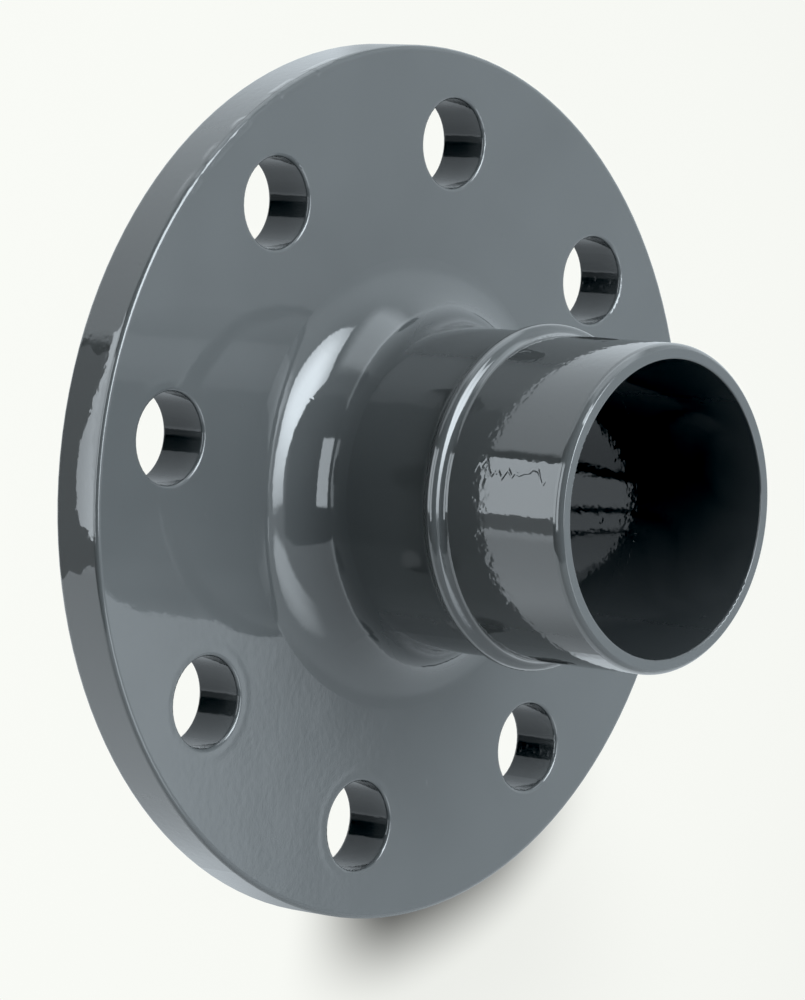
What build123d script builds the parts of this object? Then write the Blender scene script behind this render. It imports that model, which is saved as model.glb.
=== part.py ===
from build123d import *
import math
import os

# Lengths are millimetres and angles are degrees. The pipe's axis is +Z.
# The mating face lies on z = 0, so the part stands on it with the pipe pointing up.

# Pipe stub, whose bore the flange matches
pipe_diameter = 60.3
pipe_wall = 2.9
stub_reach = 29.6
end_land = 1.95
end_bevel_angle = 45.0

# Flange disc
flange_diameter = 165.0
plate_thickness = 10.5
raised_face_height = 2.0

# Bolt holes, which straddle the X and Y axes: each is set in from the rim and clears the raised face
bolt_hole_diameter = 17.0
bolt_hole_count = 8
rim_to_hole_centre = 17.5
raised_face_to_hole = 5.5

# Neck of the flange, with one large curve from the disc to the neck
neck_wall = 3.15
neck_reach = 33.6
hub_curve_radius = 12.3

# Girth weld: a V groove filled level with the bore, and a smooth crown outside
root_gap = 2.0
groove_angle = 35.0
crown_height = 1.75

# Edges, softened by the thick coat
disc_edge_radius = 1.0
hole_edge_radius = 0.7
face_edge_radius = 0.5
bore_edge_radius = 0.8
lip_edge_radius = 0.35
lip_shoulder_radius = 2.0

# Worked out from the sizes above
pipe_radius = pipe_diameter / 2
bore_radius = pipe_radius - pipe_wall
neck_radius = bore_radius + neck_wall
flange_radius = flange_diameter / 2
bolt_hole_radius = bolt_hole_diameter / 2
bolt_circle_radius = flange_radius - rim_to_hole_centre
raised_face_radius = bolt_circle_radius - bolt_hole_radius - raised_face_to_hole
disc_front = raised_face_height + plate_thickness
weld_level = disc_front + neck_reach
pipe_end = weld_level + stub_reach
groove_slope = math.tan(math.radians(groove_angle))


def turned(section):
    """Spins a half section, drawn as radius against height, round the pipe's axis."""
    return revolve(Plane.XZ * make_face(section), axis=Axis.Z)


def outline(corners):
    """Joins (radius, height, rounding) corners into a path with each inner corner rounded."""
    points = [(radius, height) for radius, height, rounding in corners]
    roundings = [rounding for radius, height, rounding in corners[1:-1]]
    return FilletPolyline(*points, radius=roundings)


def groove_edge(radius, side):
    """Height of the weld groove's wall at a radius, below (-1) or above (+1) the weld."""
    depth = radius - bore_radius
    return weld_level + side * (root_gap / 2 + depth * groove_slope)


def weld_neck_flange():
    neck_lip = (neck_radius, groove_edge(neck_radius, -1))
    neck_root = (bore_radius, groove_edge(bore_radius, -1))
    path = outline([
        (*neck_lip, 0),
        (neck_radius, disc_front, hub_curve_radius),
        (flange_radius, disc_front, disc_edge_radius),
        (flange_radius, raised_face_height, disc_edge_radius),
        (raised_face_radius, raised_face_height, face_edge_radius),
        (raised_face_radius, 0, face_edge_radius),
        (bore_radius, 0, bore_edge_radius),
        (*neck_root, 0),
    ])
    flange = turned(path + Line(neck_root, neck_lip))
    return drill_bolt_holes(flange)


def drill_bolt_holes(flange):
    half_step = 180 / bolt_hole_count
    places = PolarLocations(bolt_circle_radius, bolt_hole_count, half_step)
    drill = Cylinder(bolt_hole_radius, plate_thickness, align=(Align.CENTER, Align.CENTER, Align.MIN))
    flange -= Pos(0, 0, raised_face_height) * places * drill
    hole_rims = flange.edges().filter_by(GeomType.CIRCLE).filter_by(is_hole_rim)
    return fillet(hole_rims, hole_edge_radius)


def is_hole_rim(edge):
    off_axis = math.hypot(edge.arc_center.X, edge.arc_center.Y) > bolt_circle_radius / 2
    return off_axis and math.isclose(edge.radius, bolt_hole_radius)


def crown_side(side):
    """Half of the weld's crown: a hollow toe that turns over into a round top."""
    toe_radius = neck_radius if side < 0 else pipe_radius
    toe = Vector(toe_radius, groove_edge(toe_radius, side))
    top = Vector(neck_radius + crown_height, weld_level)
    middle = (toe + top) / 2
    lower = TangentArc(toe, middle, tangent=(0, -side))
    upper = TangentArc(top, middle, tangent=(0, side))
    return lower + upper


def girth_weld():
    lower_root = (bore_radius, groove_edge(bore_radius, -1))
    upper_root = (bore_radius, groove_edge(bore_radius, 1))
    lower_toe = (neck_radius, groove_edge(neck_radius, -1))
    upper_toe = (pipe_radius, groove_edge(pipe_radius, 1))
    groove = Line(upper_toe, upper_root) + Line(upper_root, lower_root) + Line(lower_root, lower_toe)
    return turned(crown_side(-1) + crown_side(1) + groove)


def pipe_stub():
    land_radius = bore_radius + end_land
    bevel_depth = (pipe_radius - land_radius) * math.tan(math.radians(end_bevel_angle))
    stub_lip = (pipe_radius, groove_edge(pipe_radius, 1))
    stub_root = (bore_radius, groove_edge(bore_radius, 1))
    path = outline([
        (*stub_root, 0),
        (bore_radius, pipe_end, lip_edge_radius),
        (land_radius, pipe_end, lip_edge_radius),
        (pipe_radius, pipe_end - bevel_depth, lip_shoulder_radius),
        (*stub_lip, 0),
    ])
    return turned(path + Line(stub_lip, stub_root))


def save(part, node):
    export_step(part, f"parts/{node}.step")


os.makedirs("parts", exist_ok=True)
save(weld_neck_flange(), "weld_neck_flange")
save(girth_weld(), "girth_weld")
save(pipe_stub(), "pipe_stub")
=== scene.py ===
import math

import bpy
from mathutils import Matrix, Vector

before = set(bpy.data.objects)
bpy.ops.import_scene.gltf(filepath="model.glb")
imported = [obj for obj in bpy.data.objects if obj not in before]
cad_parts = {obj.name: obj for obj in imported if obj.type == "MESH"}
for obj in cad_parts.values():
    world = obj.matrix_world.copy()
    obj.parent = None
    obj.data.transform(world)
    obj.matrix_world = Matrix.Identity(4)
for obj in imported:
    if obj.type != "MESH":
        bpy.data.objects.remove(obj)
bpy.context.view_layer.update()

# Lengths are metres, and heights are above the mating face. Turns and azimuths in the shaders are degrees.
to_degrees = 180.0 / math.pi
to_radians = math.pi / 180.0

# Camera: the photograph's viewpoint, aimed at the disc's front face
camera_azimuth = math.radians(-64.288)
camera_elevation = math.radians(41.453)
camera_roll = math.radians(95.832)
camera_distance = 1.00019
camera_target = Vector((0.003153, 0.000630, 0.0125))
camera_lens = 191.13
camera_sensor = 36.0
camera_clip_start = 0.01

# The studio's own directions: towards the camera along the floor, and the photograph's upward side
studio_turn = math.radians(-64.05)
studio_front = Vector((math.cos(studio_turn), math.sin(studio_turn), 0.0))
studio_side = Vector((math.sin(studio_turn), -math.cos(studio_turn), 0.0))

# Colours, as red, green and blue in linear light
coat_colour = (0.0410, 0.0432, 0.0437)
light_colour = (0.91, 1.0, 1.065)
floor_colour = (0.985, 1.0, 0.958)

# The floor gives its own light, as a light table does, and only a little of it below the part
floor_half_width = 4.0
floor_glow = 0.944
floor_glow_below = 0.15
covered_radius = 0.074
background_glow = 0.90

# The fill behind the part, one metre away
fill_power = 19.8
fill_width = 1.2
fill_azimuth = math.radians(-160.0)
fill_elevation = math.radians(62.0)

# The coat: how it bends light, and the painted shade inside the bore, which ends between these distances off
# the axis. The peel and the waves have their heights where each piece is dressed.
coat_index = 1.5
painted_bore_shade = 0.72
painted_bore_shade_edge = (0.0273, 0.0277)

# How fine the coat's patterns are, as noise scales
mottle_grain = 60.0
rough_grain = 900.0
peel_grain = 760.0
wave_grain = 110.0
speck_grain = 330.0
lump_grain = 230.0
halo_grain = 45.0
crease_grain = 420.0

# How far the coat's marks stand out. The crease goes inwards.
speck_height = 0.000035
lump_height = 0.00011
halo_height = 0.000016
crease_depth = 0.000045

# Where the marks are: the bolt holes, and the crease along the pipe, which swerves about its turn
bolt_circle_radius = 0.065
bolt_hole_step = 45.0
crease_turn = -7.5
crease_swerve = 0.0075

# Panels of light: azimuths, elevations, width of the soft edge, and brightness
window = ((-22.0, 19.3), (-4.0, 15.5), 1.0, 6.0)
window_foot = ((-22.0, 15.0), (-38.0, -10.0), 1.0, 6.0)
strip_below = ((10.0, 30.0), (-75.0, -25.0), 3.0, 0.7)
top_wall = ((-114.0, -68.0), (-14.0, 29.0), 7.0, 2.5)
low_corner = ((172.0, 179.5), (42.5, 52.0), 1.5, 1.3)

# The share of their brightness that these two keep when they are mirrored twice
top_wall_again = 0.25
long_box_again = 0.5

# Heights of the cards, the films and the white below. Those that overlap stay 0.2 mm apart or more.
shadow_level = -0.0006
foot_level = -0.0002
white_level = 0.0002
under_level = 0.0004
hole_level = 0.0118

# How bright the cards are, and how much light the films let through
stub_card_glow = 5.4
foot_card_glow = 0.70
white_glow = 0.955
under_clearness = 0.5
hole_clearness = 0.35

# Turns between which the floor's painted shadow comes in, and between which it goes out
shadow_start = (84.0, 106.0)
shadow_end = (124.0, 150.0)

# The stripes at the foot of the bore: from and to, across it, and brightness. The first ends at a slant.
bore_stripes = ((-0.0300, -0.0120, 0.75), (-0.0080, 0.0020, 1.35), (0.0040, 0.0099, 1.1),
                (0.0114, 0.0240, 0.75), (0.0240, 0.0300, 0.35))
stripe_soft = 0.0006
stripe_middle = 0.003
bore_glow = 0.09

# The print's black point
black_level = 0.011


class Nodes:
    """Adds shader nodes to a tree and joins them, with each input given as a value or as another output."""

    def __init__(self, tree):
        self.tree = tree
        tree.nodes.clear()

    def add(self, kind, inputs=None, **settings):
        node = self.tree.nodes.new(kind)
        for name, value in settings.items():
            setattr(node, name, value)
        for key, value in (inputs or {}).items():
            self.feed(node.inputs[key], value)
        return node

    def feed(self, socket, value):
        if isinstance(value, bpy.types.NodeSocket):
            self.tree.links.new(value, socket)
        else:
            socket.default_value = value

    def math(self, operation, *values):
        node = self.add("ShaderNodeMath", operation=operation)
        for socket, value in zip(node.inputs, values):
            self.feed(socket, value)
        return node.outputs[0]

    def times(self, *values):
        result = values[0]
        for value in values[1:]:
            result = self.math("MULTIPLY", result, value)
        return result

    def plus(self, *values):
        result = values[0]
        for value in values[1:]:
            result = self.math("ADD", result, value)
        return result

    def minus(self, value, taken):
        return self.math("SUBTRACT", value, taken)

    def step(self, value, low, high, start=0.0, end=1.0):
        """A smooth step from start to end as the value goes from low to high."""
        node = self.add("ShaderNodeMapRange", interpolation_type="SMOOTHSTEP")
        keys = ("Value", "From Min", "From Max", "To Min", "To Max")
        for key, given in zip(keys, (value, low, high, start, end)):
            self.feed(node.inputs[key], given)
        return node.outputs["Result"]

    def band(self, value, low, high, soft):
        """1 between low and high and 0 outside, with soft edges. Low and high may vary."""
        rise = self.step(self.minus(value, low), -soft, soft)
        fall = self.step(self.minus(value, high), -soft, soft, 1.0, 0.0)
        return self.times(rise, fall)

    def noise(self, vector, scale, detail=0.0, roughness=0.5):
        inputs = {"Vector": vector, "Scale": scale, "Detail": detail, "Roughness": roughness}
        return self.add("ShaderNodeTexNoise", inputs).outputs["Fac"]

    def dot(self, vector, axis):
        node = self.add("ShaderNodeVectorMath", operation="DOT_PRODUCT")
        self.feed(node.inputs[0], vector)
        node.inputs[1].default_value = axis
        return node.outputs["Value"]

    def times_vector(self, vector, factors):
        node = self.add("ShaderNodeVectorMath", {0: vector, 1: factors}, operation="MULTIPLY")
        return node.outputs["Vector"]

    def turn_from_camera(self, front, side):
        """Degrees round the axis: 0 on the camera's side and -90 on the photograph's upper side."""
        return self.times(self.math("ARCTAN2", self.times(side, -1.0), front), to_degrees)

    def mix(self, kind, factor, a, b):
        node = self.add("ShaderNodeMix", data_type=kind)
        live = [socket for socket in node.inputs if socket.enabled]
        for socket, value in zip(live, (factor, a, b)):
            self.feed(socket, value)
        return [socket for socket in node.outputs if socket.enabled][0]


def shade(colour, factor):
    return (colour[0] * factor, colour[1] * factor, colour[2] * factor, 1.0)


class Coat(Nodes):
    """Nodes for the coat, which know where on the part they are."""

    def __init__(self, tree):
        super().__init__(tree)
        self.place = self.add("ShaderNodeTexCoord").outputs["Object"]
        self.x = self.dot(self.place, (1.0, 0.0, 0.0))
        self.y = self.dot(self.place, (0.0, 1.0, 0.0))
        self.z = self.dot(self.place, (0.0, 0.0, 1.0))
        self.off_axis = self.length(self.x, self.y)
        self.turn = self.times(self.math("ARCTAN2", self.y, self.x), to_degrees)

    def length(self, a, b):
        return self.math("SQRT", self.plus(self.times(a, a), self.times(b, b)))

    def across_line(self, turn, offset):
        """Distance round the pipe from a line along it, which stands at a turn and swerves by an offset."""
        round_it = self.times(self.minus(self.turn, turn), to_radians, self.off_axis)
        return self.math("ABSOLUTE", self.minus(round_it, offset))


def rim_lumps(n):
    """Small lumps where the coat ran together along one stretch of the disc's front edge."""
    turn = math.degrees(studio_turn)
    stretch = n.band(n.turn, turn - 70.0, turn - 34.0, 3.0)
    edge = n.times(n.band(n.off_axis, 0.0810, 0.0830, 0.0005), n.step(n.z, 0.0100, 0.0112))
    lumps = n.step(n.noise(n.place, lump_grain), 0.42, 0.70)
    return n.times(stretch, edge, lumps, lump_height)


def hole_halos(n):
    """A soft raised ring in the coat round each bolt hole, stronger on some holes than on others."""
    within_step = n.math("MODULO", n.plus(n.turn, 360.0), bolt_hole_step)
    folded = n.times(n.minus(within_step, bolt_hole_step / 2), to_radians)
    sideways = n.times(n.off_axis, n.math("SINE", folded))
    outward = n.minus(n.times(n.off_axis, n.math("COSINE", folded)), bolt_circle_radius)
    ring_shape = n.band(n.length(sideways, outward), 0.0098, 0.0108, 0.0010)
    patchy = n.step(n.noise(n.place, halo_grain), 0.40, 0.65)
    on_face = n.step(n.z, 0.0118, 0.0123)
    return n.times(ring_shape, patchy, on_face, halo_height)


def stub_crease(n):
    """A fine jagged crease in the coat, along the pipe on the camera's side."""
    along_pipe = n.times_vector(n.place, (0.1, 0.1, 1.0))
    swerve = n.times(n.minus(n.noise(along_pipe, crease_grain, 1.0, 0.6), 0.5), crease_swerve)
    distance = n.across_line(math.degrees(studio_turn) + crease_turn, swerve)
    line = n.step(distance, 0.0, 0.0006, 1.0, 0.0)
    return n.times(line, n.band(n.z, 0.0560, 0.0715, 0.0015), -crease_depth)


def gloss_coat(name, peel_height, wave_height, marks=()):
    """The thick dark grey gloss coat, with the slight waves it dried with, a few specks, its own marks and
    painted shade in the bore.
    """
    material = bpy.data.materials.new(name)
    material.use_nodes = True
    n = Coat(material.node_tree)
    mottle = n.noise(n.place, mottle_grain, 1.0)
    mottled = n.mix("RGBA", mottle, shade(coat_colour, 0.93), shade(coat_colour, 1.07))
    # Painted shade: inside the bore the coat is drawn darker, where the bore lies in shade
    tone_with_painted_bore_shade = n.mix("RGBA", n.step(n.off_axis, *painted_bore_shade_edge), shade(coat_colour, painted_bore_shade), mottled)
    rough = n.step(n.noise(n.place, rough_grain), 0.3, 0.7, 0.035, 0.06)
    normal = n.add("ShaderNodeNewGeometry").outputs["Normal"]
    upright = n.math("ABSOLUTE", n.dot(normal, (0.0, 0.0, 1.0)))
    runs = n.step(upright, 0.05, 0.3, 2.4, 1.0)
    peel = n.times(n.noise(n.place, peel_grain, 1.0, 0.4), peel_height, runs)
    wave = n.times(n.noise(n.place, wave_grain), wave_height)
    specks = n.step(n.noise(n.place, speck_grain), 0.82, 0.92, 0.0, speck_height)
    height = n.plus(peel, wave, specks, *[mark(n) for mark in marks])
    bump = n.add("ShaderNodeBump", {"Height": height, "Strength": 1.0, "Distance": 1.0})
    shader = n.add("ShaderNodeBsdfPrincipled", {"Base Color": tone_with_painted_bore_shade, "Roughness": rough, "IOR": coat_index,
                                                "Normal": bump.outputs["Normal"]})
    out = n.add("ShaderNodeOutputMaterial")
    n.feed(out.inputs["Surface"], shader.outputs["BSDF"])
    return material


class Sky:
    """The light that comes from each direction: panels placed by azimuth and elevation, in degrees,
    or by where they cross a plane overhead. Azimuth 0 is the camera's side and -90 the photograph's top."""

    def __init__(self, nodes):
        n = self.nodes = nodes
        ray = n.add("ShaderNodeTexCoord").outputs["Generated"]
        self.front = n.dot(ray, studio_front)
        self.side = n.dot(ray, studio_side)
        self.height = n.dot(ray, (0.0, 0.0, 1.0))
        self.upper = n.step(self.height, 0.0, 0.05)
        above = n.math("MAXIMUM", self.height, 0.001)
        self.across = n.math("DIVIDE", self.front, above)
        self.along = n.math("DIVIDE", self.side, above)
        self.elevation = n.times(n.math("ARCSINE", self.height), to_degrees)
        self.azimuth = n.turn_from_camera(self.front, self.side)
        self.off_centre = n.math("ABSOLUTE", self.azimuth)
        # 1 in a reflection of a reflection, and 0 in the first one
        self.again = n.math("GREATER_THAN", n.add("ShaderNodeLightPath").outputs["Ray Depth"], 2.5)

    def panel(self, azimuths, elevations, soft, brightness):
        n = self.nodes
        wide = n.band(self.azimuth, *azimuths, soft)
        high = n.band(self.elevation, *elevations, soft)
        return n.times(wide, high, brightness)

    def base(self):
        """Dim in front, where the camera stands, and brighter round the other sides and below."""
        n = self.nodes
        lean = n.step(self.elevation, -15.0, 0.0, 0.34, 0.18)
        flag = n.plus(self.side, n.times(self.front, 0.80), n.times(self.height, lean))
        top_side = n.step(self.elevation, -30.0, 5.0, -30.0, -50.0)
        front = n.times(n.step(flag, -0.02, 0.02), n.step(n.minus(self.azimuth, top_side), -2.0, 2.0),
                        n.step(self.elevation, 64.0, 74.0, 1.0, 0.0))
        upper = n.step(self.off_centre, 85.0, 140.0, n.step(self.azimuth, -50.0, 20.0, 0.35, 1.05), 1.05)
        behind = n.times(n.step(self.off_centre, 150.0, 165.0),
                         n.band(self.elevation, 33.0, 49.0, 3.0), -0.35)
        lower_top = n.step(self.off_centre, 118.0, 170.0, 1.95, 0.95)
        lower_low = n.times(n.step(self.off_centre, 60.0, 110.0, 2.3, 1.75),
                            n.step(self.off_centre, 125.0, 172.0, 1.0, 0.42))
        lower = n.mix("FLOAT", n.step(self.azimuth, -20.0, 20.0), lower_top, lower_low)
        sides = n.step(self.elevation, -2.0, -10.0, n.plus(upper, behind), lower)
        return n.mix("FLOAT", front, sides, 0.04)

    def long_box(self):
        """The long soft box overhead: widest and brightest off to one side, and dimmer mirrored twice."""
        n = self.nodes
        far = n.plus(n.step(self.along, 0.10, 0.34, -0.055, -0.235), n.step(self.along, 0.4, 0.7, 0.0, -0.03))
        near = n.math("MAXIMUM", 0.28, n.math("MINIMUM", 0.60, n.plus(0.27, n.times(self.along, 0.33))))
        start = n.plus(n.times(self.across, -0.1), -0.15)
        end = n.minus(1.31, n.times(n.math("MAXIMUM", self.across, 0.0), 0.25))
        shape = n.times(n.band(self.across, far, near, 0.02), n.band(self.along, start, end, 0.03))
        rise = n.step(self.along, -0.22, 0.34, 5.0, 16.0)
        fall = n.step(self.along, 0.6, 1.33, 1.0, 0.48)
        tilt = n.times(n.step(self.across, -0.32, 0.10, 0.52, 1.0),
                       n.step(self.across, 0.25, 0.60, 1.0, 0.80))
        dimmer = n.mix("FLOAT", self.again, 1.0, long_box_again)
        return n.times(shape, rise, fall, tilt, self.upper, dimmer)

    def side_glow(self):
        """A faint patch beside the long box's narrow end."""
        n = self.nodes
        wide = n.band(self.across, -0.42, -0.20, 0.06)
        return n.times(wide, n.band(self.along, 0.11, 0.23, 0.05), self.upper, 3.0)

    def low_box(self):
        """A weaker box on the other side, which fades out towards the floor."""
        n = self.nodes
        reach = n.minus(-0.2, self.along)
        left = n.math("MAXIMUM", -0.42, n.plus(-0.13, n.times(reach, -2.0)))
        right = n.math("MINIMUM", 0.12, n.plus(-0.08, n.times(reach, 1.1)))
        fade = n.times(n.step(reach, 0.0, 0.06), n.step(reach, 0.1, 1.25, 3.9, 0.0))
        tilt = n.step(self.across, -0.50, -0.12, 0.25, 1.0)
        return n.times(n.band(self.across, left, right, 0.06), fade, tilt, self.upper)

    def second_glint(self):
        """A soft glow that shows only when mirrored twice: the pipe as the disc's face mirrors it."""
        n = self.nodes
        rise = n.step(self.azimuth, -165.0, -105.0, 0.0, 1.8)
        wide = n.times(rise, n.step(self.azimuth, -72.0, -66.0, 1.0, 0.0))
        return n.times(self.again, wide, n.band(self.elevation, -60.0, 80.0, 5.0))

    def top_wall(self):
        """A pale wall on the photograph's upper side, which is dimmer when mirrored twice."""
        n = self.nodes
        return n.times(self.panel(*top_wall), n.mix("FLOAT", self.again, 1.0, top_wall_again))

    def light(self):
        return self.nodes.plus(self.base(), self.long_box(), self.low_box(), self.side_glow(),
                               self.panel(*window), self.panel(*window_foot), self.panel(*strip_below),
                               self.top_wall(), self.panel(*low_corner), self.second_glint())


def studio():
    """Soft boxes and pale walls all round. The camera itself sees only a plain pale background."""
    world = bpy.data.worlds.new("studio")
    bpy.context.scene.world = world
    world.use_nodes = True
    n = Nodes(world.node_tree)
    light = Sky(n).light()
    seen = n.add("ShaderNodeLightPath").outputs["Is Camera Ray"]
    colour = n.mix("RGBA", seen, shade(light_colour, 1.0), shade(floor_colour, 1.0))
    strength = n.mix("FLOAT", seen, light, background_glow)
    back = n.add("ShaderNodeBackground", {"Color": colour, "Strength": strength})
    out = n.add("ShaderNodeOutputWorld")
    n.feed(out.inputs["Surface"], back.outputs["Background"])


def plain_material(name, kind, inputs):
    """A material of one shader. Inputs may need its nodes, so they are given as a function."""
    material = bpy.data.materials.new(name)
    material.use_nodes = True
    n = Nodes(material.node_tree)
    shader = n.add(kind, inputs(n))
    out = n.add("ShaderNodeOutputMaterial")
    n.feed(out.inputs["Surface"], shader.outputs[0])
    return material


def emission(name, colour, strength):
    inputs = {"Color": shade(colour, 1.0), "Strength": strength}
    return plain_material(name, "ShaderNodeEmission", lambda n: inputs)


def film(name, clearness):
    inputs = {"Color": shade((1, 1, 1), clearness)}
    return plain_material(name, "ShaderNodeBsdfTransparent", lambda n: inputs)


class Spot:
    """Where a point of the floor, or of a card on it, lies round the part. Each call adds its own nodes."""

    def __init__(self, nodes):
        self.nodes = nodes
        self.place = nodes.add("ShaderNodeTexCoord").outputs["Object"]

    def front(self):
        return self.nodes.dot(self.place, studio_front)

    def side(self):
        return self.nodes.dot(self.place, studio_side)

    def off_axis(self):
        return self.nodes.add("ShaderNodeVectorMath", {0: self.place}, operation="LENGTH").outputs["Value"]

    def turn(self):
        return self.nodes.turn_from_camera(self.front(), self.side())


def floor_light(n):
    """The floor's glow, dim below the part, with a soft shadow along the photograph's lower side."""
    spot = Spot(n)
    off_axis, turn = spot.off_axis(), spot.turn()
    # Painted shadow: the glow is turned down in a soft patch beside the disc, and it also fades far from the
    # part
    close = n.plus(n.step(off_axis, 0.082, 0.104, 0.82, 0.0), n.step(off_axis, 0.090, 0.170, 0.10, 0.0))
    shadow = n.times(close, n.step(turn, *shadow_start), n.step(turn, *shadow_end, 1.0, 0.0))
    spread = n.plus(floor_glow, n.step(spot.front(), -0.05, 0.14, 0.0, 0.02),
                    n.step(off_axis, 0.105, 0.26, 0.0, -0.055))
    covered = n.step(off_axis, covered_radius, covered_radius + 0.006, floor_glow_below, 1.0)
    return {"Color": shade(floor_colour, 1.0), "Strength": n.times(covered, spread, n.minus(1.0, shadow))}


def bore_light(n):
    """Stripes of light at the foot of the bore, which its far wall mirrors towards the camera."""
    spot = Spot(n)
    front, side = spot.front(), spot.side()
    narrowing = n.step(front, 0.0, 0.028, 1.0, 0.69)
    widened = n.plus(n.times(n.plus(side, -stripe_middle), narrowing), stripe_middle)
    slanted = n.step(n.plus(front, n.times(side, -0.925)), 0.035, 0.039, 1.0, 0.0)
    first, *others = [n.times(n.band(widened, low, high, stripe_soft), glow)
                      for low, high, glow in bore_stripes]
    strength = n.plus(n.times(first, slanted), *others, bore_glow)
    return {"Color": shade(light_colour, 1.0), "Strength": strength}


def rim_light(n):
    """The rim card's light, which is stronger away from the disc and so along the rim's front edge."""
    strength = n.step(Spot(n).off_axis(), 0.0885, 0.0955, 4.3, 7.0)
    return {"Color": shade(light_colour, 1.0), "Strength": strength}


def shadow_clearness(n):
    """The floor's shadow as the gloss mirrors it: deepest below the disc on the photograph's lower side."""
    spot = Spot(n)
    turn = spot.turn()
    # Painted shadow in the reflections: the film dims what the gloss mirrors where the floor's shadow lies
    low = n.times(n.step(turn, 62.0, 96.0), n.step(turn, 112.0, 124.0, 1.0, 0.0), 0.55)
    top = n.times(n.band(turn, -112.0, -80.0, 4.0), n.step(spot.off_axis(), 0.090, 0.096, 0.35, 0.0))
    return {"Color": n.mix("RGBA", n.plus(low, top), shade((1, 1, 1), 1.0), shade((1, 1, 1), 0.0))}


def stage_mesh(name, corners, faces, material):
    mesh = bpy.data.meshes.new(name)
    mesh.from_pydata(corners, [], faces)
    mesh.materials.append(material)
    piece = bpy.data.objects.new(name, mesh)
    bpy.context.scene.collection.objects.link(piece)
    return piece


def sheet(name, corners, material):
    return stage_mesh(name, corners, [tuple(range(len(corners)))], material)


def floor_spot(radius, turn, height):
    """A point by its distance from the axis and its turn in degrees from the camera's side."""
    angle = studio_turn + math.radians(turn)
    return (radius * math.cos(angle), radius * math.sin(angle), height)


def spots(outline, height=0.0):
    """Points from an outline of (radius in millimetres, turn) pairs."""
    return [floor_spot(radius / 1000, turn, height) for radius, turn in outline]


def ring(name, inner, outer, height, material):
    """A flat ring round the axis, made of short quads."""
    steps = 64
    turns = [360 * step / steps for step in range(steps + 1)]
    corners = [floor_spot(inner, turn, height) for turn in turns]
    corners += [floor_spot(outer, turn, height) for turn in reversed(turns)]
    last = len(corners) - 1
    quads = [(step, step + 1, last - step - 1, last - step) for step in range(steps)]
    return stage_mesh(name, corners, quads, material)


def only_for_gloss(piece):
    """A card that is mirrored in the coat, and that neither shows nor lights anything."""
    piece.visible_camera = False
    piece.visible_diffuse = False
    piece.visible_transmission = False
    piece.visible_shadow = False


def lay_floor():
    half = floor_half_width
    corners = [(-half, -half, 0), (half, -half, 0), (half, half, 0), (-half, half, 0)]
    floor = sheet("floor", corners, plain_material("pale_floor", "ShaderNodeEmission", floor_light))
    floor.visible_glossy = False


def lay_bright_cards():
    """Cards on the floor in front of the disc, which the rim and the pipe mirror."""
    rim_side = ((92.4, -17.0), (92.7, -11.3), (91.7, -7.9), (91.1, -4.4), (89.8, -1.5),
                (89.7, 4.0), (89.8, 7.3), (90.7, 10.0), (92.7, 10.8), (93.4, 12.2))
    rim_glow = plain_material("rim_glow", "ShaderNodeEmission", rim_light)
    only_for_gloss(sheet("rim_card", spots(rim_side + ((97, 12.5), (97, -21))), rim_glow))
    stub_outline = ((97, -21), (97, 12.6), (100, 12.3), (128, 12.6), (132, -4), (128, -21))
    stub_glow = emission("stub_card", light_colour, stub_card_glow)
    only_for_gloss(sheet("stub_card", spots(stub_outline), stub_glow))


def lay_foot_card():
    """A dim card with ragged ends along the disc's edge, which makes the dark zone on the rim."""
    first_end = ((97.5, -14.6), (95, -13.5), (92.5, -14.5), (90, -13.2),
                 (87.5, -14.3), (85.5, -13.4), (83, -14.2))
    last_end = ((83, 16.2), (85.5, 17.1), (87.5, 15.9), (90, 16.9),
                (92.5, 15.7), (95, 16.8), (97.5, 16.1))
    inner_side = tuple((83, turn) for turn in range(-12, 16, 2))
    outer_side = tuple((97.5, turn) for turn in range(14, -14, -2))
    outline = spots(first_end + inner_side + last_end + outer_side, foot_level)
    only_for_gloss(sheet("foot_card", outline, emission("foot_card", light_colour, foot_card_glow)))


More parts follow.
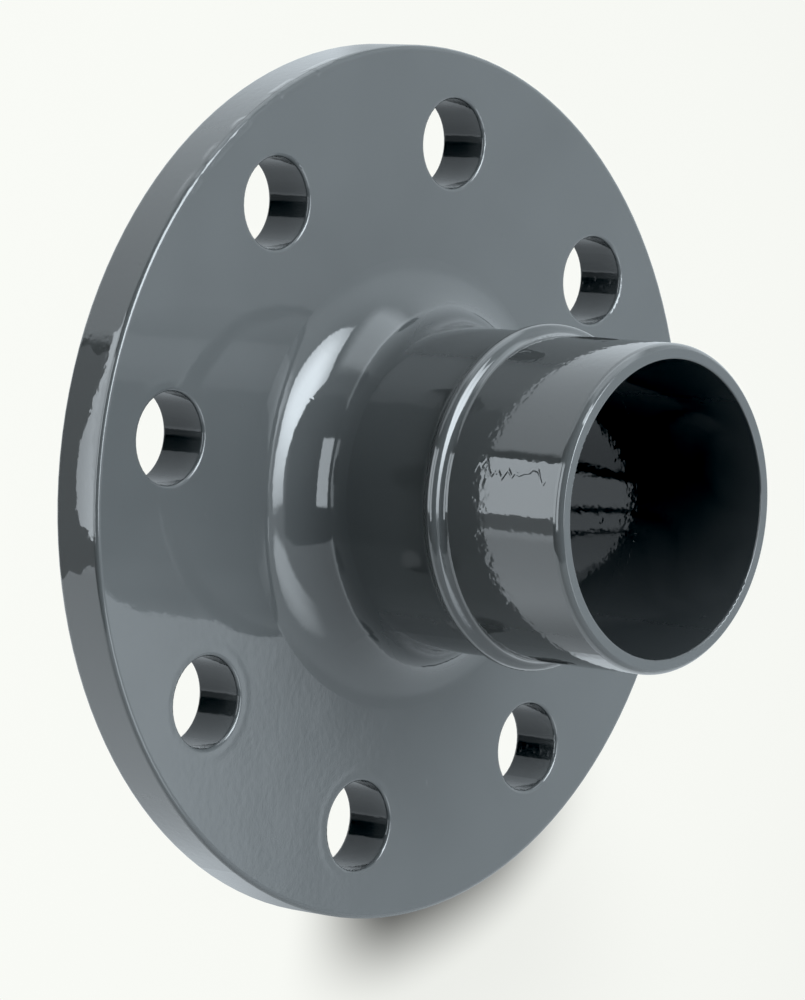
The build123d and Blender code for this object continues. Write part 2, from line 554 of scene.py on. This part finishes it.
def lay_cards_below():
    """Cards and dim films below the part and in its holes, and the white that shows through the holes."""
    striped = plain_material("bore_stripes", "ShaderNodeEmission", bore_light)
    only_for_gloss(ring("bore_card", 0.0, 0.030, under_level, striped))
    # Painted shade in the reflections: these films dim what the gloss mirrors below the part and through its
    # holes
    only_for_gloss(ring("under_film", 0.030, 0.080, under_level, film("dim_film", under_clearness)))
    only_for_gloss(ring("hole_film", 0.054, 0.076, hole_level, film("dark_film", hole_clearness)))
    shadow_film = plain_material("shadow_film", "ShaderNodeBsdfTransparent", shadow_clearness)
    only_for_gloss(ring("shadow_film", 0.0825, 0.140, shadow_level, shadow_film))
    white = ring("white_below", 0.0, 0.080, white_level, emission("white_below", floor_colour, white_glow))
    white.visible_diffuse = False
    white.visible_glossy = False
    white.visible_shadow = False


def hang_fill():
    """A broad fill light behind the part, which the gloss doesn't mirror."""
    data = bpy.data.lights.new("fill", "AREA")
    data.shape = "DISK"
    data.size = fill_width
    data.energy = fill_power
    data.color = light_colour
    lamp = bpy.data.objects.new("fill", data)
    bpy.context.scene.collection.objects.link(lamp)
    lamp.visible_glossy = False
    lamp.visible_camera = False
    flat = studio_front * math.cos(fill_azimuth) - studio_side * math.sin(fill_azimuth)
    away = flat * math.cos(fill_elevation) + Vector((0.0, 0.0, math.sin(fill_elevation)))
    lamp.matrix_world = Matrix.Translation(away) @ away.to_track_quat("Z", "Y").to_matrix().to_4x4()


def place_camera():
    data = bpy.data.cameras.new("camera")
    data.lens = camera_lens
    data.sensor_width = camera_sensor
    data.clip_start = camera_clip_start
    camera = bpy.data.objects.new("camera", data)
    bpy.context.scene.collection.objects.link(camera)
    flat = math.cos(camera_elevation)
    away = Vector((flat * math.cos(camera_azimuth), flat * math.sin(camera_azimuth),
                   math.sin(camera_elevation)))
    turn = away.to_track_quat("Z", "Y").to_matrix() @ Matrix.Rotation(camera_roll, 3, "Z")
    camera.matrix_world = Matrix.Translation(camera_target + camera_distance * away) @ turn.to_4x4()
    bpy.context.scene.camera = camera


def set_print():
    """Plain tones, with the photograph's black point."""
    view = bpy.context.scene.view_settings
    view.view_transform = "Standard"
    view.look = "None"
    view.use_curve_mapping = True
    view.curve_mapping.black_level = (black_level, black_level, black_level)


def dress(node, coat):
    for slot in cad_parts[node].material_slots:
        slot.material = coat


place_camera()
studio()
lay_floor()
lay_bright_cards()
lay_foot_card()
lay_cards_below()
dress("weld_neck_flange", gloss_coat("flange_coat", peel_height=0.000008, wave_height=0.000022,
                                     marks=(rim_lumps, hole_halos)))
dress("girth_weld", gloss_coat("weld_coat", peel_height=0.000009, wave_height=0.000014))
dress("pipe_stub", gloss_coat("stub_coat", peel_height=0.000008, wave_height=0.000008, marks=(stub_crease,)))
hang_fill()
set_print()
